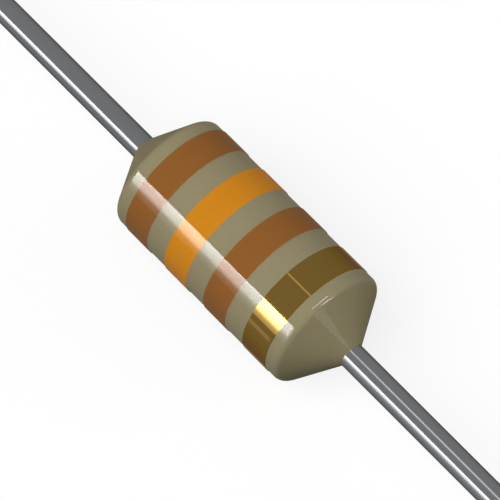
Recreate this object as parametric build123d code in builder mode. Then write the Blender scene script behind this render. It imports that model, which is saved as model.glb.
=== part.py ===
from build123d import *
import os

os.makedirs("parts", exist_ok=True)

# Axial inductor: a wound ferrite core moulded in an epoxy body, with a straight lead out of each end.
# It lies along X with its origin at the middle of the body, on the lead axis. Millimetres, Z up.

# Moulded body: a round barrel with a cone at each end
body_diameter = 3.0
barrel_length = 5.18
cone_length = 0.785
shoulder_radius = 0.17

# Leads: round tinned wire
lead_diameter = 0.6
lead_length = 28.0
lead_end_chamfer = 0.06

# Stretch of each lead inside the cone, pressed flat so that it can't turn or pull out
flat_width = 0.8
flat_thickness = 0.36
flat_edge_radius = 0.06
flat_cover = 0.2
flat_gap = 0.05

# Painted colour bands, evenly spaced between the plain margins at the barrel's ends
band_names = ("first_digit_band", "second_digit_band", "multiplier_band", "tolerance_band")
band_width = 0.75
band_end_margin = 0.3025
paint_thickness = 0.012

# Ferrite drum core, and the epoxy that covers it
flange_cover = 0.4
end_cover = 0.79
flange_thickness = 0.6
flange_edge_radius = 0.06
winding_window_depth = 0.55
lead_hole_depth = 0.5
bond_film = 0.03

# Winding of enamelled wire, with a tail at each end that leaves through a notch in the flange
wire_diameter = 0.1
turn_crown = 0.3  # height of each turn's rounded back, in wire diameters
winding_recess = 0.15
notch_clearance = 0.03
tail_bend_radius = 0.12

# Where a tail wraps its lead and is soldered to it
wrap_turns = 3
wrap_offset = 0.16
solder_film = 0.02
solder_cover = 0.04
solder_run_out = 0.12

# Body and leads: places that follow from the sizes above
body_radius = body_diameter / 2
shoulder_x = barrel_length / 2
tip_x = shoulder_x + cone_length
lead_radius = lead_diameter / 2
band_pitch = (barrel_length - 2 * band_end_margin - band_width) / (len(band_names) - 1)

# Core
flange_radius = body_radius - flange_cover
core_end_x = shoulder_x - end_cover
window_end_x = core_end_x - flange_thickness
drum_radius = flange_radius - winding_window_depth
lead_hole_radius = lead_radius + bond_film
lead_seat_x = core_end_x - lead_hole_depth + bond_film

# Winding, its notches and its wraps
wire_radius = wire_diameter / 2
winding_radius = flange_radius - winding_recess
valley_depth = turn_crown * wire_diameter
tail_height = winding_radius - wire_diameter
notch_width = wire_diameter + 2 * notch_clearance
notch_floor = tail_height - wire_radius - notch_clearance
wrap_inner_radius = lead_radius + solder_film
wrap_outer_radius = wrap_inner_radius + wire_diameter
wrap_start_x = core_end_x + wrap_offset
wrap_end_x = wrap_start_x + wrap_turns * wire_diameter
tail_drop_x = wrap_start_x + wire_diameter
solder_radius = wrap_outer_radius + solder_cover

# Flattened stretch of a lead, between its solder joint and the cone's tip
flat_start_x = wrap_end_x + solder_run_out + flat_gap
flat_end_x = tip_x - flat_cover

# The wire starts at the -X end and finishes at the +X end
ends = {"start": -1, "finish": 1}


def wound_section(first_x, last_x, inner_radius, outer_radius):
    """Half section of turns side by side, each with its rounded back on the outside."""
    turns = round((last_x - first_x) / wire_diameter)
    pitch = (last_x - first_x) / turns
    valley_radius = outer_radius - valley_depth
    with BuildSketch() as section:
        with BuildLine():
            Polyline(
                (last_x, valley_radius),
                (last_x, inner_radius),
                (first_x, inner_radius),
                (first_x, valley_radius),
            )
            for turn in range(turns):
                turn_x = first_x + turn * pitch
                ThreePointArc(
                    (turn_x, valley_radius),
                    (turn_x + pitch / 2, outer_radius),
                    (turn_x + pitch, valley_radius),
                )
        make_face()
    return section.sketch


# Drum core, with a blind lead hole in the middle of each flange and a wire notch in each rim
with BuildPart() as ferrite_core:
    with BuildSketch():
        with BuildLine():
            Polyline(
                (-core_end_x, 0),
                (-core_end_x, flange_radius),
                (-window_end_x, flange_radius),
                (-window_end_x, drum_radius),
                (window_end_x, drum_radius),
                (window_end_x, flange_radius),
                (core_end_x, flange_radius),
                (core_end_x, 0),
                close=True,
            )
        make_face()
    revolve(axis=Axis.X)
    rims = ferrite_core.edges().filter_by(GeomType.CIRCLE).filter_by(lambda e: e.radius > drum_radius)
    fillet(rims, flange_edge_radius)
    for side in ends.values():
        with Locations(Plane(origin=(side * core_end_x, 0, 0), z_dir=(side, 0, 0))):
            Hole(radius=lead_hole_radius, depth=lead_hole_depth)
        with BuildSketch(Plane(origin=(side * core_end_x, 0, 0), x_dir=(0, 1, 0), z_dir=(side, 0, 0))):
            with Locations((0, notch_floor)):
                Rectangle(notch_width, flange_radius, align=(Align.CENTER, Align.MIN))
        extrude(amount=-flange_thickness, mode=Mode.SUBTRACT)
ferrite_core.part.label = "ferrite_core"
export_step(ferrite_core.part, "parts/ferrite_core.step")

# One wire makes the turns on the drum, a tail through each notch and a wrap on each lead
with BuildPart() as winding:
    with BuildSketch():
        add(wound_section(-window_end_x, window_end_x, drum_radius, winding_radius))
        add(wound_section(wrap_start_x, wrap_end_x, wrap_inner_radius, wrap_outer_radius))
        add(wound_section(-wrap_end_x, -wrap_start_x, wrap_inner_radius, wrap_outer_radius))
    revolve(axis=Axis.X)
    for side in ends.values():
        with BuildLine() as tail:
            FilletPolyline(
                (side * (window_end_x - wire_diameter), 0, side * tail_height),
                (side * tail_drop_x, 0, side * tail_height),
                (side * tail_drop_x, 0, side * (wrap_inner_radius + wire_radius)),
                radius=tail_bend_radius,
            )
        with BuildSketch(Plane(origin=tail.line @ 0, z_dir=tail.line % 0)):
            Circle(wire_radius)
        sweep()
winding.part.label = "winding"
export_step(winding.part, "parts/winding.step")

inserts = [ferrite_core.part, winding.part]

for end, side in ends.items():
    # Lead, seated in the core's hole, flattened inside the cone and lightly chamfered at its cut end
    with BuildPart() as lead:
        for first_x, last_x in ((lead_seat_x, flat_start_x), (flat_end_x, tip_x + lead_length)):
            with BuildSketch(Plane(origin=(side * first_x, 0, 0), z_dir=(side, 0, 0))):
                Circle(lead_radius)
            extrude(amount=last_x - first_x)
        with BuildSketch(Plane(origin=(side * flat_start_x, 0, 0), x_dir=(0, 1, 0), z_dir=(side, 0, 0))):
            RectangleRounded(flat_width, flat_thickness, flat_edge_radius)
        extrude(amount=flat_end_x - flat_start_x)
        cut_face = lead.faces().sort_by(Axis((0, 0, 0), (side, 0, 0)))[-1]
        chamfer(cut_face.edges(), lead_end_chamfer)
    lead.part.label = f"{end}_lead"
    export_step(lead.part, f"parts/{end}_lead.step")

    # Adhesive that fills the hole around and behind the lead
    with BuildPart() as bond:
        with BuildSketch(Plane(origin=(side * core_end_x, 0, 0), z_dir=(side, 0, 0))):
            Circle(lead_hole_radius)
        extrude(amount=-lead_hole_depth)
        add(lead.part, mode=Mode.SUBTRACT)
    bond.part.label = f"{end}_lead_bond"
    export_step(bond.part, f"parts/{end}_lead_bond.step")

    # Solder over the wrapped tail
    with BuildPart() as solder_joint:
        with BuildSketch() as solder_section:
            with BuildLine():
                Polyline(
                    (side * (wrap_start_x - solder_run_out), lead_radius),
                    (side * (wrap_start_x - solder_cover), solder_radius),
                    (side * (wrap_end_x + solder_cover), solder_radius),
                    (side * (wrap_end_x + solder_run_out), lead_radius),
                    close=True,
                )
            make_face()
            fillet(solder_section.vertices().group_by(Axis.Y)[-1], solder_cover)
        revolve(axis=Axis.X)
        add(winding.part, mode=Mode.SUBTRACT)
    solder_joint.part.label = f"{end}_solder_joint"
    export_step(solder_joint.part, f"parts/{end}_solder_joint.step")

    inserts += [lead.part, bond.part, solder_joint.part]

# Epoxy body, moulded in one piece around the wound core and the inner ends of the leads
with BuildPart() as body_moulding:
    with BuildSketch() as body_section:
        with BuildLine():
            Polyline(
                (-tip_x, 0),
                (-tip_x, lead_radius),
                (-shoulder_x, body_radius),
                (shoulder_x, body_radius),
                (tip_x, lead_radius),
                (tip_x, 0),
                close=True,
            )
        make_face()
        fillet(body_section.vertices().group_by(Axis.Y)[-1], shoulder_radius)
    revolve(axis=Axis.X)
    for insert in inserts:
        add(insert, mode=Mode.SUBTRACT)
body_moulding.part.label = "body_moulding"
export_step(body_moulding.part, "parts/body_moulding.step")

# Colour bands, each a ring of paint on the barrel
for number, band_name in enumerate(band_names):
    band_x = number * band_pitch + band_end_margin - shoulder_x
    with BuildPart() as band:
        with BuildSketch(Plane(origin=(band_x, 0, 0), z_dir=(1, 0, 0))):
            Circle(body_radius + paint_thickness)
            Circle(body_radius, mode=Mode.SUBTRACT)
        extrude(amount=band_width)
    band.part.label = band_name
    export_step(band.part, f"parts/{band_name}.step")
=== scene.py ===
import math

import bmesh
import bpy
from mathutils import Matrix, Vector, noise


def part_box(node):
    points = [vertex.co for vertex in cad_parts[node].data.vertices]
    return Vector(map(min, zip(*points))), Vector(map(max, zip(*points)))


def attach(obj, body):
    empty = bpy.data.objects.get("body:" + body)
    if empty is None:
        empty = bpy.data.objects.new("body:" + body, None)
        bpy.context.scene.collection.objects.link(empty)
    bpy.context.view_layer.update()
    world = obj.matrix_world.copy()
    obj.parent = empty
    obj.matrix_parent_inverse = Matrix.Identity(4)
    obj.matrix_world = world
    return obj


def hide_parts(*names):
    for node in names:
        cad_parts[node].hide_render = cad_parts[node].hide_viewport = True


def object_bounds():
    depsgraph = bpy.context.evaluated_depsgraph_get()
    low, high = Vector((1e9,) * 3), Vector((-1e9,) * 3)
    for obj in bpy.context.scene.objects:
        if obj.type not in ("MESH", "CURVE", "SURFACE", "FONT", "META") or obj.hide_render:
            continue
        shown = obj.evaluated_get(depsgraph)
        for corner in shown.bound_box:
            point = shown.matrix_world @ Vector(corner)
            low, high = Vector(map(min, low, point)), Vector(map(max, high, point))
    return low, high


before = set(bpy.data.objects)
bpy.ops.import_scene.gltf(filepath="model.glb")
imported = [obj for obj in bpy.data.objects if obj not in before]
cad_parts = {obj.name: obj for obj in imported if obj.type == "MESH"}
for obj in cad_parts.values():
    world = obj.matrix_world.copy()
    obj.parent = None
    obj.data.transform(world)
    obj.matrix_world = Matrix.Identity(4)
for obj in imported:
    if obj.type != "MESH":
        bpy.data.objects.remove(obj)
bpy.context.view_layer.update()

# Axial inductor, lying along X with its origin at the middle of the body. Metres, Z up.
MM = 0.001

# Body: the barrel's length and shoulders; its radius and its tips come from the frame
BARREL_LENGTH = 5.18 * MM
SHOULDER_RADIUS = 0.17 * MM
BODY_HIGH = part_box("body_moulding")[1]
BODY_RADIUS = BODY_HIGH.z
TIP_X = BODY_HIGH.x
SHOULDER_X = BARREL_LENGTH / 2

# Lead: round outside the body, flat for a stretch inside the cone
LEAD_LOW, LEAD_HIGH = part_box("finish_lead")
LEAD_RADIUS = LEAD_HIGH.z
LEAD_END_X = LEAD_HIGH.x
LEAD_SEAT_X = LEAD_LOW.x
LEAD_END_CHAMFER = 0.06 * MM
FLAT_WIDTH = LEAD_HIGH.y * 2
FLAT_THICKNESS = 0.36 * MM
FLAT_SQUARENESS = 8  # power of the rounded rectangle that the flat stretch has as its section
FLAT_GAP = 0.05 * MM
FLAT_COVER = 0.2 * MM
FLAT_RAMP = 0.03 * MM
FLAT_START_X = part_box("finish_solder_joint")[1].x + FLAT_GAP
FLAT_END_X = TIP_X - FLAT_COVER

# The hollow in the body clears what it holds by this much
HOLLOW_GAP = 0.01 * MM

# Bands: how far their edges waver and how quickly, and the share of a band's width over which
# the paint thins out at each edge, where the moulding shows through
PAINT_WAVER = 0.012 * MM
PAINT_WAVES = 6
PAINT_THIN = 0.045
PAINT_RAGGED = PAINT_THIN / 7

# Steps of the meshes: around each piece, along a shoulder's arc and along a lead
AROUND_BODY = 256
AROUND_LEAD = 96
SHOULDER_STEPS = 14
LEAD_STEPS = 24

# Camera: focal length in pixels of the 500 px frame, and the place that matches the photograph
FRAME_SIDE_PX = 500
FOCAL_PX = 4096.8
SENSOR_WIDTH_MM = 36.0
CAMERA_AZIMUTH = math.radians(48.27)
CAMERA_ELEVATION = math.radians(62.90)
CAMERA_DISTANCE = 89.0 * MM
CAMERA_TARGET = Vector((0.042, 0.065, 0.0)) * MM
CAMERA_CLIP_START = 1 * MM

# White floor: how much of its white is its own glow, and how pale it is as a light on the part
FLOOR_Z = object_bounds()[0].z
FLOOR_HALF_SIDE = 1.5
FLOOR_GLOW = 0.8
FLOOR_BOUNCE = 0.04

# White background: how strong it is as a light on the part
WORLD_FILL = 0.31

# A lamp's direction is its part along the leads, x, and its tilt from straight up towards -Y.
# A radiance of 1 is white.

# Softboxes that light the colours: a key high on the camera's side, and a weaker one behind
KEY_X = -0.05
KEY_TILT = math.radians(36)
KEY_SPREAD = math.radians(60)
KEY_RADIANCE = 3.17
BACK_X = 0.6
BACK_TILT = math.radians(-72)
BACK_SPREAD = math.radians(40)
BACK_RADIANCE = 2.6

# Rectangular lamps, which only the gloss shows, stand this far away
LAMP_DISTANCE = 0.3

# Strip: a long softbox low on the -Y side, in slices that are brightest at its top edge.
# The body and the leads each show a strip of their own, in stretches of (first x, last x, level).
BODY_STRIP_TOP = math.radians(54.0)
BODY_STRIP = ((-0.62, -0.27, 1), (-0.27, -0.12, 0.12), (-0.12, 0.15, 0.45))
LEAD_STRIP_TOP = math.radians(54.8)
LEAD_STRIP = ((-0.62, 0.15, 0.11),)
STRIP_BOTTOM = math.radians(80.5)
STRIP_SLICES = 9
STRIP_RADIANCE = 41

# Across the strip: its level, what its top edge adds and how fast that falls, and where it fades out
STRIP_LEVEL = 0.86
STRIP_EDGE_LEVEL = 0.55
STRIP_EDGE_FALL = 6
STRIP_FADE_TILT = math.radians(73.4)
STRIP_FADE = math.radians(1.9)

# Spill of the strip's light, over it and on below it
SPILL_BOTTOM = math.radians(86.0)
SPILL_RADIANCE = 3.2

# Tubes overhead, a thin one for the tolerance band and a wide one for the finish lead
TUBE_TILT = math.radians(-2.7)
THIN_TUBE_X = (-0.334, -0.306)
THIN_TUBE_WIDTH = math.radians(2.2)
THIN_TUBE_RADIANCE = 3.4
WIDE_TUBE_X = (-0.302, -0.2)
WIDE_TUBE_WIDTH = math.radians(11)
WIDE_TUBE_RADIANCE = 3.6

# Cards overhead that glint on the shoulder of the finish end, each from one (x, tilt) to another
GLINT_WIDTH = math.radians(8)
TOP_GLINT = ((-0.11, math.radians(11)), (0.07, math.radians(-22)))
TOP_GLINT_RADIANCE = 38
END_GLINT = ((0.67, math.radians(-10)), (0.80, math.radians(-46)))
END_GLINT_RADIANCE = 36

# Cards that stand on the floor: where, how wide and high, how bright, and how far turned from facing +Y
GOLD_CARD_PLACE = (-0.785 * MM, -8.8 * MM)
GOLD_CARD_SIZE = (0.75 * MM, 1.2 * MM)
GOLD_CARD_RADIANCE = 1.1
LEAD_CARD_PLACE = (6.4 * MM, -8.8 * MM)
LEAD_CARD_SIZE = (12 * MM, 0.95 * MM)
LEAD_CARD_RADIANCE = 1.3
CONE_CARD_PLACE = (22.7 * MM, 2.3 * MM)
CONE_CARD_SIZE = (3.6 * MM, 2.5 * MM)
CONE_CARD_RADIANCE = 12
CONE_CARD_TURN = math.radians(90)

# Clear glossy skin on the moulding and the paints, and how strong it is on each
SKIN_IOR = 1.9
SKIN_ROUGHNESS = 0.03
BARREL_SKIN = 0.1
CONE_SKIN = 0.024
BROWN_SKIN = 0.086
ORANGE_SKIN = 0.0755
GOLD_SKIN = 0.066

# Colours, as linear red, green and blue: each finish varies between the two tones of its pair
EPOXY_CLOUDS = ((0.261, 0.227, 0.129), (0.279, 0.239, 0.138))
EPOXY_GRAIN = (0.253, 0.219, 0.123)
EPOXY_UNDER_PAINT = (0.266, 0.229, 0.130)
BROWN = ((0.256, 0.098, 0.018), (0.244, 0.093, 0.016))
ORANGE = ((0.592, 0.220, 0.0066), (0.568, 0.210, 0.0056))
GOLD = ((0.157, 0.094, 0.017), (0.145, 0.086, 0.015))
GOLD_RIM = (0.45, 0.33, 0.12)
TIN = ((0.155, 0.158, 0.165), (0.142, 0.145, 0.151))
TIN_RIM = (0, 0, 0)

# Colours of the pieces that the body hides, as 0 to 255 screen values
FERRITE = ((52, 52, 55), (40, 40, 43))
COPPER = ((190, 104, 60), (168, 86, 46))
ADHESIVE = ((170, 150, 104), (158, 138, 92))
SOLDER = ((176, 176, 174), (160, 160, 158))

# How metallic each finish is: a trace in the brown and the orange tints their sheen
BROWN_METAL = 0.004
ORANGE_METAL = 0.009
GOLD_METAL = 0.55
TIN_METAL = 0.7

# Most of a noise's values lie between these two; its finer layers are this strong
NOISE_LOW = 0.3
NOISE_HIGH = 0.7
NOISE_ROUGHNESS = 0.55


def new_object(name, data):
    """Put a new object with this data in the scene."""
    made = bpy.data.objects.new(name, data)
    bpy.context.scene.collection.objects.link(made)
    return made


def smooth_object(name, mesh):
    """Turn the faces outward, shade them smooth and make the object."""
    bmesh.ops.recalc_face_normals(mesh, faces=mesh.faces)
    for face in mesh.faces:
        face.smooth = True
    data = bpy.data.meshes.new(name)
    mesh.to_mesh(data)
    mesh.free()
    return new_object(name, data)


def dress(piece, material):
    """Give the piece this material alone."""
    piece.data.materials.clear()
    piece.data.materials.append(material)


def finished(piece, node, material):
    """The piece stands for its CAD node, which it hides, rides on the root body and gets the given
    material.
    """
    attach(piece, "root")
    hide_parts(node)
    dress(piece, material)
    return piece


def join_rings(mesh, ring, following):
    """Faces between two rings that have as many points."""
    for step in range(len(ring)):
        beside = (step + 1) % len(ring)
        mesh.faces.new((ring[step], following[step], following[beside], ring[beside]))


def sharpen(mesh, ring):
    """Keep a hard edge along the ring."""
    for step in range(len(ring)):
        mesh.edges.get((ring[step], ring[(step + 1) % len(ring)])).smooth = False


def circle(x, radius, around):
    """Points of a circle about the X axis."""
    points = []
    for step in range(around):
        angle = 2 * math.pi * step / around
        points.append((x, radius * math.cos(angle), radius * math.sin(angle)))
    return points


def lathe(name, profile, sharp):
    """A closed loop of (x, radius) points turned about the X axis; points in sharp keep a hard edge."""
    mesh = bmesh.new()
    rings = []
    for x, radius in profile:
        rings.append([mesh.verts.new(point) for point in circle(x, radius, AROUND_BODY)])
    for number, ring in enumerate(rings):
        join_rings(mesh, ring, rings[(number + 1) % len(rings)])
    for number in sharp:
        sharpen(mesh, rings[number])
    return smooth_object(name, mesh)


def rounded_corner(before, corner, after):
    """Points of a shoulder's arc, with one more just past each end to keep the flats flat."""
    corner = Vector(corner)
    back = (Vector(before) - corner).normalized()
    ahead = (Vector(after) - corner).normalized()
    half = back.angle(ahead) / 2
    reach = SHOULDER_RADIUS / math.tan(half)
    centre = corner + (back + ahead).normalized() * (SHOULDER_RADIUS / math.sin(half))
    first = corner + back * reach - centre
    last = corner + ahead * reach - centre
    turn = first.angle_signed(last)
    margin = SHOULDER_RADIUS / SHOULDER_STEPS
    points = [tuple(centre + first + back * margin)]
    for step in range(SHOULDER_STEPS + 1):
        angle = -turn * step / SHOULDER_STEPS
        points.append((
            centre.x + first.x * math.cos(angle) - first.y * math.sin(angle),
            centre.y + first.x * math.sin(angle) + first.y * math.cos(angle),
        ))
    points.append(tuple(centre + last + ahead * margin))
    return points


def body():
    """Moulded body: coned barrel outside, and a hollow that fits the core, the joints and the leads."""
    start_tip = (-TIP_X, LEAD_RADIUS)
    start_shoulder = (-SHOULDER_X, BODY_RADIUS)
    finish_shoulder = (SHOULDER_X, BODY_RADIUS)
    finish_tip = (TIP_X, LEAD_RADIUS)
    outside = [start_tip]
    outside += rounded_corner(start_tip, start_shoulder, finish_shoulder)
    outside += rounded_corner(start_shoulder, finish_shoulder, finish_tip)
    outside += [finish_tip]
    core_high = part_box("ferrite_core")[1]
    neck_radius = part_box("finish_solder_joint")[1].z + HOLLOW_GAP
    core_radius = core_high.z + HOLLOW_GAP
    core_end_x = core_high.x + HOLLOW_GAP
    finish_half = [
        (FLAT_END_X, LEAD_RADIUS),
        (FLAT_END_X, neck_radius),
        (core_end_x, neck_radius),
        (core_end_x, core_radius),
    ]
    start_half = [(-x, radius) for x, radius in reversed(finish_half)]
    profile = outside + finish_half + start_half
    tips = [0, len(outside) - 1]
    hollow = list(range(len(outside), len(profile)))
    return lathe("body", profile, sharp=tips + hollow)


def flush_normals(mesh):
    """Shade a thin ring's slopes like its flat, so that no line shows where the paint ends."""
    normals = []
    for face in mesh.polygons:
        facing = 1 if face.normal.dot(Vector((0, face.center.y, face.center.z))) > 0 else -1
        for number in face.vertices:
            spot = mesh.vertices[number].co
            normals.append(Vector((0, spot.y, spot.z)).normalized() * facing)
    mesh.normals_split_custom_set(normals)


def band(node):
    """Ring of paint with sloping edges that waver a little, as brushed rings do."""
    low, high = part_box(node)
    slope = high.z - BODY_RADIUS
    profile = [
        (high.x, BODY_RADIUS),
        (low.x, BODY_RADIUS),
        (low.x + slope, high.z),
        (high.x - slope, high.z),
    ]
    ring = lathe(node + "_paint", profile, sharp=range(len(profile)))
    for vertex in ring.data.vertices:
        x, y, z = vertex.co
        at_high_end = x > (low.x + high.x) / 2
        around = Vector((0, y, z)).normalized() * PAINT_WAVES
        edge = Vector((high.x if at_high_end else low.x, 0, 0)) * PAINT_WAVES / MM
        inset = PAINT_WAVER * (1 + noise.noise(around + edge)) / 2
        vertex.co.x += -inset if at_high_end else inset
    flush_normals(ring.data)
    return ring


def flat_bar(x):
    """Section of the lead's flat stretch: a bar with rounded edges."""
    points = []
    for _, y, z in circle(x, 1, AROUND_LEAD):
        across = abs(2 * y / FLAT_WIDTH) ** FLAT_SQUARENESS
        through = abs(2 * z / FLAT_THICKNESS) ** FLAT_SQUARENESS
        reach = 1 / (across + through) ** (1 / FLAT_SQUARENESS)
        points.append((x, y * reach, z * reach))
    return points


def lead(name, side):
    """Wire from its seat in the core to its cut end, on the side of X that side gives."""
    mesh = bmesh.new()
    rings = []

    def add_ring(points):
        rings.append([mesh.verts.new((side * x, y, z)) for x, y, z in points])
        return rings[-1]

    def add_circle(x, radius):
        return add_ring(circle(x, radius, AROUND_LEAD))

    cut_radius = LEAD_RADIUS - LEAD_END_CHAMFER
    chamfer_x = LEAD_END_X - LEAD_END_CHAMFER
    add_circle(LEAD_SEAT_X, cut_radius / 2)
    seat = add_circle(LEAD_SEAT_X, LEAD_RADIUS)
    flat_start = add_circle(FLAT_START_X, LEAD_RADIUS)
    add_ring(flat_bar(FLAT_START_X + FLAT_RAMP))
    add_ring(flat_bar(FLAT_END_X - FLAT_RAMP))
    flat_end = add_circle(FLAT_END_X, LEAD_RADIUS)
    for step in range(1, LEAD_STEPS):
        add_circle(FLAT_END_X + (chamfer_x - FLAT_END_X) * step / LEAD_STEPS, LEAD_RADIUS)
    chamfer = add_circle(chamfer_x, LEAD_RADIUS)
    cut_edge = add_circle(LEAD_END_X, cut_radius)
    add_circle(LEAD_END_X, cut_radius * 2 / 3)
    add_circle(LEAD_END_X, cut_radius / 3)
    for ring, following in zip(rings, rings[1:]):
        join_rings(mesh, ring, following)
    for ring, x in ((rings[0], LEAD_SEAT_X), (rings[-1], LEAD_END_X)):
        centre = mesh.verts.new((side * x, 0, 0))
        for step in range(AROUND_LEAD):
            mesh.faces.new((ring[step], ring[(step + 1) % AROUND_LEAD], centre))
    for ring in (seat, flat_start, flat_end, chamfer, cut_edge):
        sharpen(mesh, ring)
    return smooth_object(name, mesh)


class Nodes:
    """The nodes of a material or of the world, with short calls to add and join them."""

    def __init__(self, owner, shader="Principled BSDF"):
        owner.use_nodes = True
        self.owner = owner
        self.tree = owner.node_tree
        self.shader = self.tree.nodes[shader]

    def add(self, kind, **settings):
        """A new node; each setting is a socket's number or one of the node's own choices."""
        node = self.tree.nodes.new(kind)
        for key, value in settings.items():
            if key in node.inputs:
                node.inputs[key].default_value = value
            else:
                setattr(node, key, value)
        return node

    def put(self, socket, value):
        """Give a socket another node's output, a colour or a number."""
        if isinstance(value, bpy.types.NodeSocket):
            self.tree.links.new(value, socket)
        elif isinstance(value, tuple):
            socket.default_value = (*value, 1)
        else:
            socket.default_value = value

    def shade(self, name, value):
        """Set one of the shader's sockets."""
        self.put(self.shader.inputs[name], value)

    def calculate(self, operation, first, second=0.0):
        """Result of a math node on two sockets or numbers."""
        node = self.add("ShaderNodeMath", operation=operation)
        self.put(node.inputs[0], first)
        self.put(node.inputs[1], second)
        return node.outputs[0]

    def ramp(self, value, start, end, low, high, curve="LINEAR"):
        """A value that runs from low to high as the given one goes from start to end."""
        node = self.add("ShaderNodeMapRange", interpolation_type=curve)
        limits = {"From Min": start, "From Max": end, "To Min": low, "To Max": high}
        for name, limit in limits.items():
            node.inputs[name].default_value = limit
        self.put(node.inputs["Value"], value)
        return node.outputs["Result"]

    def blend(self, share, first, second):
        """Colour that goes from first to second with share."""
        node = self.add("ShaderNodeMix", data_type="RGBA")
        self.put(node.inputs[0], share)
        self.put(node.inputs[6], first)
        self.put(node.inputs[7], second)
        return node.outputs[2]

    def noise(self, scale, detail=4):
        """Noise with so many swings per millimetre along X, Y and Z."""
        place = self.add("ShaderNodeTexCoord")
        mapping = self.add("ShaderNodeMapping", Scale=[swings / MM for swings in scale])
        self.put(mapping.inputs["Vector"], place.outputs["Object"])
        node = self.add("ShaderNodeTexNoise", Scale=1, Detail=detail, Roughness=NOISE_ROUGHNESS)
        self.put(node.inputs["Vector"], mapping.outputs["Vector"])
        return node.outputs["Fac"]

    def spread(self, value, low, high):
        """A value that varies from low to high with a noise."""
        return self.ramp(value, NOISE_LOW, NOISE_HIGH, low, high)

    def along_leads(self, kind):
        """Place along X, in the kind of coordinates that is named."""
        place = self.add("ShaderNodeTexCoord")
        axes = self.add("ShaderNodeSeparateXYZ")
        self.put(axes.inputs[0], place.outputs[kind])
        return axes.outputs["X"]

    def cover(self):
        """How well the paint covers the moulding: 1, and less at the band's thin uneven edges."""
        share = self.along_leads("Generated")
        nearest_edge = self.calculate("MINIMUM", share, self.calculate("SUBTRACT", 1, share))
        ragged = self.spread(self.noise((11, 11, 11), detail=3), -PAINT_RAGGED, PAINT_RAGGED)
        uneven = self.calculate("ADD", nearest_edge, ragged)
        return self.ramp(uneven, 0, PAINT_THIN, 0, 1, "SMOOTHSTEP")

    def gloss(self, weight):
        """Clear glossy skin."""
        self.shade("Coat Weight", weight)
        self.shade("Coat IOR", SKIN_IOR)
        self.shade("Coat Roughness", SKIN_ROUGHNESS)
        self.shade("Specular IOR Level", 0.0)

    def bump(self, height, depth):
        """Surface relief, in the colour layer and in the skin over it; depth is in metres."""
        node = self.add("ShaderNodeBump", Distance=depth)
        self.put(node.inputs["Height"], height)
        self.shade("Normal", node.outputs["Normal"])
        self.shade("Coat Normal", node.outputs["Normal"])

    def seen(self):
        """1 for the rays that show the background: from the camera, off gloss and through glass."""
        path = self.add("ShaderNodeLightPath")
        total = path.outputs["Is Camera Ray"]
        for ray in ("Is Glossy Ray", "Is Transmission Ray"):
            total = self.calculate("MAXIMUM", total, path.outputs[ray])
        return total


def epoxy():
    """Moulded epoxy, faintly clouded and grainy, with a polished barrel and satin cones."""
    nodes = Nodes(bpy.data.materials.new("epoxy"))
    clouds = nodes.spread(nodes.noise((1.6, 1.6, 1.6)), 0, 1)
    grain = nodes.spread(nodes.noise((14, 14, 14)), 0, 1)
    nodes.shade("Base Color", nodes.blend(grain, nodes.blend(clouds, *EPOXY_CLOUDS), EPOXY_GRAIN))
    nodes.shade("Roughness", nodes.spread(clouds, 0.30, 0.36))
    from_middle = nodes.calculate("ABSOLUTE", nodes.along_leads("Object"))
    cone_x = SHOULDER_X + SHOULDER_RADIUS / 2
    nodes.gloss(nodes.ramp(from_middle, SHOULDER_X, cone_x, BARREL_SKIN, CONE_SKIN, "SMOOTHSTEP"))
    nodes.bump(nodes.noise((3, 3, 3), detail=1), depth=0.0008 * MM)
    return nodes.owner


def paint(name, tones, skin, metal):
    """Band paint, with faint streaks around the body."""
    nodes = Nodes(bpy.data.materials.new(name))
    streaks = nodes.spread(nodes.noise((22, 1.2, 1.2)), 0, 1)
    nodes.shade("Base Color", nodes.blend(nodes.cover(), EPOXY_UNDER_PAINT, nodes.blend(streaks, *tones)))
    nodes.shade("Roughness", nodes.spread(streaks, 0.04, 0.06))
    nodes.shade("Metallic", metal)
    nodes.gloss(skin)
    nodes.bump(nodes.noise((4, 2, 2), detail=1), depth=0.0006 * MM)
    return nodes.owner


def gold_paint():
    """Metallic band paint, with fine flakes."""
    nodes = Nodes(bpy.data.materials.new("paint_gold"))
    flakes = nodes.spread(nodes.noise((60, 60, 60), detail=1), 0, 1)
    nodes.shade("Base Color", nodes.blend(flakes, *GOLD))
    nodes.shade("Roughness", nodes.spread(flakes, 0.05, 0.08))
    nodes.shade("Metallic", GOLD_METAL)
    nodes.shade("Specular Tint", GOLD_RIM)
    nodes.gloss(GOLD_SKIN)
    return nodes.owner


def tinned_wire():
    """Bright tinned wire, with fine lines along it and dark rims."""
    nodes = Nodes(bpy.data.materials.new("tinned_wire"))
    lines = nodes.spread(nodes.noise((0.8, 60, 60), detail=3), 0, 1)
    nodes.shade("Base Color", nodes.blend(lines, *TIN))
    nodes.shade("Roughness", nodes.spread(lines, 0.08, 0.1))
    nodes.shade("Metallic", TIN_METAL)
    nodes.shade("Specular Tint", TIN_RIM)
    return nodes.owner


def linear(red, green, blue):
    """Linear colour from 0 to 255 screen values."""
    return tuple(
        value / 12.92 if value <= 0.04045 else ((value + 0.055) / 1.055) ** 2.4
        for value in (red / 255, green / 255, blue / 255)
    )


def hidden_finish(name, tones, scale, metal, roughness):
    """Mottled finish of a piece that the body hides."""
    nodes = Nodes(bpy.data.materials.new(name))
    mottle = nodes.spread(nodes.noise(scale), 0, 1)
    nodes.shade("Base Color", nodes.blend(mottle, linear(*tones[0]), linear(*tones[1])))
    nodes.shade("Roughness", nodes.spread(mottle, roughness, roughness + 0.1))
    nodes.shade("Metallic", metal)
    return nodes.owner


def direction(x, tilt):
    """Direction with x along the leads, the rest of it tilted from straight up towards -Y."""
    rest = math.sqrt(1 - x * x)
    return Vector((x, -rest * math.sin(tilt), rest * math.cos(tilt)))


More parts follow.
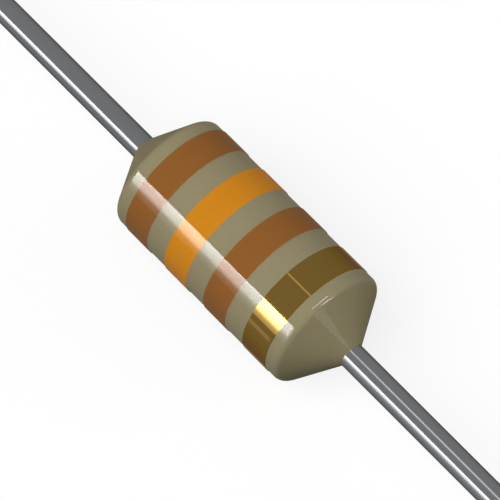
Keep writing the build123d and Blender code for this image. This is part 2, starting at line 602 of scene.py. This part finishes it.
def softbox(name, towards, spread, radiance):
    """Round softbox far away that lights the colours evenly, and isn't mirrored."""
    data = bpy.data.lights.new(name, "SUN")
    data.angle = spread
    data.energy = math.pi * math.sin(spread / 2) ** 2 * radiance
    source = new_object(name, data)
    source.rotation_euler = towards.to_track_quat("Z", "Y").to_euler()
    source.visible_camera = False
    source.visible_glossy = False


def rectangle(name, width, height, radiance, receivers):
    """Rectangular lamp that lights the gloss alone, of the pieces in receivers or of all with None."""
    data = bpy.data.lights.new(name, "AREA")
    data.shape = "RECTANGLE"
    data.size = width
    data.size_y = height
    data.energy = math.pi * width * height * radiance
    source = new_object(name, data)
    source.visible_camera = False
    source.visible_diffuse = False
    source.light_linking.receiver_collection = receivers
    return source


def aimed_lamp(name, first, last, width, radiance, receivers=None):
    """Rectangular lamp that spans from one (x, tilt) to another and faces the part."""
    first = direction(*first)
    last = direction(*last)
    middle = (first + last).normalized()
    along = (last - first).normalized()
    turn = Matrix((along.cross(middle), along, middle)).transposed()
    across = 2 * LAMP_DISTANCE * math.tan(width / 2)
    source = rectangle(name, across, LAMP_DISTANCE * (last - first).length, radiance, receivers)
    source.matrix_world = Matrix.Translation((first + last) / 2 * LAMP_DISTANCE) @ turn.to_4x4()


def floor_card(name, place, size, radiance, receivers, turn=0):
    """Small bright card that stands on the floor at place."""
    width, height = size
    source = rectangle(name, width, height, radiance, receivers)
    source.location = (*place, FLOOR_Z + height / 2)
    source.rotation_euler = (math.radians(90), 0, turn)


def only(name, pieces):
    """Collection of the pieces that a lamp lights, so that no other piece shows it."""
    receivers = bpy.data.collections.new(name)
    for piece in pieces:
        receivers.objects.link(piece)
    return receivers


def strip(name, top, stretches, receivers):
    """Long softbox in slices, with an even spill of light below it."""
    slice_width = (STRIP_BOTTOM - top) / STRIP_SLICES
    for first_x, last_x, level in stretches:
        for number in range(STRIP_SLICES):
            tilt = top + slice_width * (number + 0.5)
            edge = STRIP_EDGE_LEVEL * math.exp(-STRIP_EDGE_FALL * (number + 0.5) / STRIP_SLICES)
            fade = 1 + math.exp((tilt - STRIP_FADE_TILT) / STRIP_FADE)
            radiance = STRIP_RADIANCE * level * (STRIP_LEVEL + edge) / fade + SPILL_RADIANCE
            aimed_lamp(name, (first_x, tilt), (last_x, tilt), slice_width, radiance, receivers)
    spill_width = SPILL_BOTTOM - STRIP_BOTTOM
    tilt = STRIP_BOTTOM + spill_width / 2
    first_x = stretches[0][0]
    last_x = stretches[-1][1]
    aimed_lamp(name, (first_x, tilt), (last_x, tilt), spill_width, SPILL_RADIANCE, receivers)


def tube(name, stretch, width, radiance, receivers):
    """Tube along the leads, overhead."""
    first_x, last_x = stretch
    aimed_lamp(name, (first_x, TUBE_TILT), (last_x, TUBE_TILT), width, radiance, receivers)


def lamps(moulding, bands, leads):
    """The studio's lamps, of which the tubes and the cards on the floor light one piece each."""
    softbox("key", direction(KEY_X, KEY_TILT), KEY_SPREAD, KEY_RADIANCE)
    softbox("back", direction(BACK_X, BACK_TILT), BACK_SPREAD, BACK_RADIANCE)
    painted_body = only("painted_body", [moulding] + bands)
    both_leads = only("both_leads", leads)
    gold_band = only("gold_band", bands[-1:])
    finish_wire = only("finish_wire", leads[-1:])
    bare_body = only("bare_body", [moulding])
    strip("body_strip", BODY_STRIP_TOP, BODY_STRIP, painted_body)
    strip("lead_strip", LEAD_STRIP_TOP, LEAD_STRIP, both_leads)
    tube("tube_thin", THIN_TUBE_X, THIN_TUBE_WIDTH, THIN_TUBE_RADIANCE, gold_band)
    tube("tube_wide", WIDE_TUBE_X, WIDE_TUBE_WIDTH, WIDE_TUBE_RADIANCE, finish_wire)
    aimed_lamp("card_top", *TOP_GLINT, GLINT_WIDTH, TOP_GLINT_RADIANCE)
    aimed_lamp("card_end", *END_GLINT, GLINT_WIDTH, END_GLINT_RADIANCE)
    floor_card("gold_card", GOLD_CARD_PLACE, GOLD_CARD_SIZE, GOLD_CARD_RADIANCE, gold_band)
    floor_card("lead_card", LEAD_CARD_PLACE, LEAD_CARD_SIZE, LEAD_CARD_RADIANCE, finish_wire)
    floor_card("cone_card", CONE_CARD_PLACE, CONE_CARD_SIZE, CONE_CARD_RADIANCE, bare_body, CONE_CARD_TURN)


def stage_floor():
    """White floor that the part lies on, and that keeps its shadow."""
    mesh = bmesh.new()
    corners = []
    for x, y in ((-1, -1), (1, -1), (1, 1), (-1, 1)):
        corners.append(mesh.verts.new((x * FLOOR_HALF_SIDE, y * FLOOR_HALF_SIDE, FLOOR_Z)))
    mesh.faces.new(corners)
    floor = smooth_object("floor", mesh)
    nodes = Nodes(bpy.data.materials.new("floor"))
    seen = nodes.seen()
    bounce = (FLOOR_BOUNCE, FLOOR_BOUNCE, FLOOR_BOUNCE)
    without_glow = (1 - FLOOR_GLOW, 1 - FLOOR_GLOW, 1 - FLOOR_GLOW)
    nodes.shade("Base Color", nodes.blend(seen, bounce, without_glow))
    nodes.shade("Roughness", 1.0)
    nodes.shade("Specular IOR Level", 0.0)
    nodes.shade("Emission Color", (1, 1, 1))
    nodes.shade("Emission Strength", nodes.calculate("MULTIPLY", seen, FLOOR_GLOW))
    dress(floor, nodes.owner)


def world_light():
    """Background that shows white, and lights the part more weakly."""
    world = bpy.data.worlds.new("studio")
    bpy.context.scene.world = world
    nodes = Nodes(world, "Background")
    nodes.shade("Color", (1, 1, 1))
    nodes.shade("Strength", nodes.ramp(nodes.seen(), 0, 1, WORLD_FILL, 1))


def camera():
    """Camera at the photograph's viewing angle."""
    data = bpy.data.cameras.new("camera")
    data.sensor_width = SENSOR_WIDTH_MM
    data.lens = FOCAL_PX / FRAME_SIDE_PX * SENSOR_WIDTH_MM
    data.clip_start = CAMERA_CLIP_START
    back = Vector((
        math.sin(CAMERA_AZIMUTH) * math.cos(CAMERA_ELEVATION),
        -math.cos(CAMERA_AZIMUTH) * math.cos(CAMERA_ELEVATION),
        math.sin(CAMERA_ELEVATION),
    ))
    eye = new_object("camera", data)
    eye.location = CAMERA_TARGET + back * CAMERA_DISTANCE
    eye.rotation_euler = back.to_track_quat("Z", "Y").to_euler()
    bpy.context.scene.camera = eye


moulding = finished(body(), "body_moulding", epoxy())

brown = paint("paint_brown", BROWN, BROWN_SKIN, BROWN_METAL)
orange = paint("paint_orange", ORANGE, ORANGE_SKIN, ORANGE_METAL)
bands = []
for node, slot, material in (
    ("first_digit_band", "paint_brown", brown),
    ("second_digit_band", "paint_orange", orange),
    ("multiplier_band", "paint_brown", brown),
    ("tolerance_band", "paint_gold", gold_paint()),
):
    bands.append(finished(band(node), node, material))

wire = tinned_wire()
leads = []
for node, side in (("start_lead", -1), ("finish_lead", 1)):
    leads.append(finished(lead(node + "_wire", side), node, wire))

# The pieces that the body hides keep their CAD meshes
ferrite = hidden_finish("ferrite", FERRITE, scale=(9, 9, 9), metal=0, roughness=0.6)
copper = hidden_finish("enamelled_copper", COPPER, scale=(3, 20, 20), metal=1, roughness=0.2)
adhesive = hidden_finish("adhesive", ADHESIVE, scale=(5, 5, 5), metal=0, roughness=0.4)
solder = hidden_finish("solder", SOLDER, scale=(8, 8, 8), metal=1, roughness=0.25)
for node, material in (
    ("ferrite_core", ferrite),
    ("winding", copper),
    ("start_lead_bond", adhesive),
    ("finish_lead_bond", adhesive),
    ("start_solder_joint", solder),
    ("finish_solder_joint", solder),
):
    dress(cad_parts[node], material)

camera()
world_light()
stage_floor()
lamps(moulding, bands, leads)
bpy.context.scene.view_settings.view_transform = "Standard"
